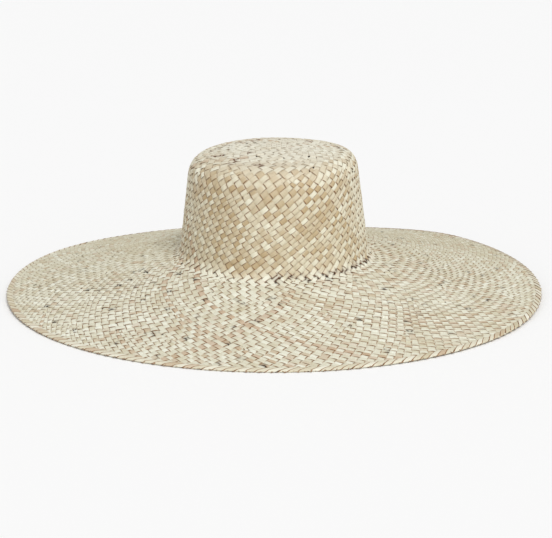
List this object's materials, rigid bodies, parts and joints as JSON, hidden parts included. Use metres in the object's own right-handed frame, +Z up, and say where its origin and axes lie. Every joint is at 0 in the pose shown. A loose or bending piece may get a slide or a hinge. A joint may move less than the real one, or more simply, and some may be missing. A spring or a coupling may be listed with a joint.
{
  "type": "palm leaf sun hat",
  "caption": "Wide-brimmed sun hat plaited from palm leaf strips, with an open oval crown, a nearly flat top and a drooping brim with a folded edge.",
  "frame": {"origin": "middle of the brim, at the lowest point of the folded edge, on which the hat stands", "axes": "+Z up out of the crown's top, +X to the right as the front is looked at, -Y to the hat's front; the crown's oval is longest along Y"},
  "size_m": [0.5, 0.5, 0.1367],
  "materials": {
    "crown_straw": "plaited undyed palm leaf, semi-matt, tan to cream strips",
    "brim_straw": "plaited undyed palm leaf, semi-matt, cream strips with brown edges",
    "edge_straw": "folded palm leaf strips, semi-matt, with brown folds"
  },
  "bodies": {
    "root": {"crown": "crown_straw", "brim": "brim_straw", "brim_edge": "edge_straw"}
  },
  "joints": []
}
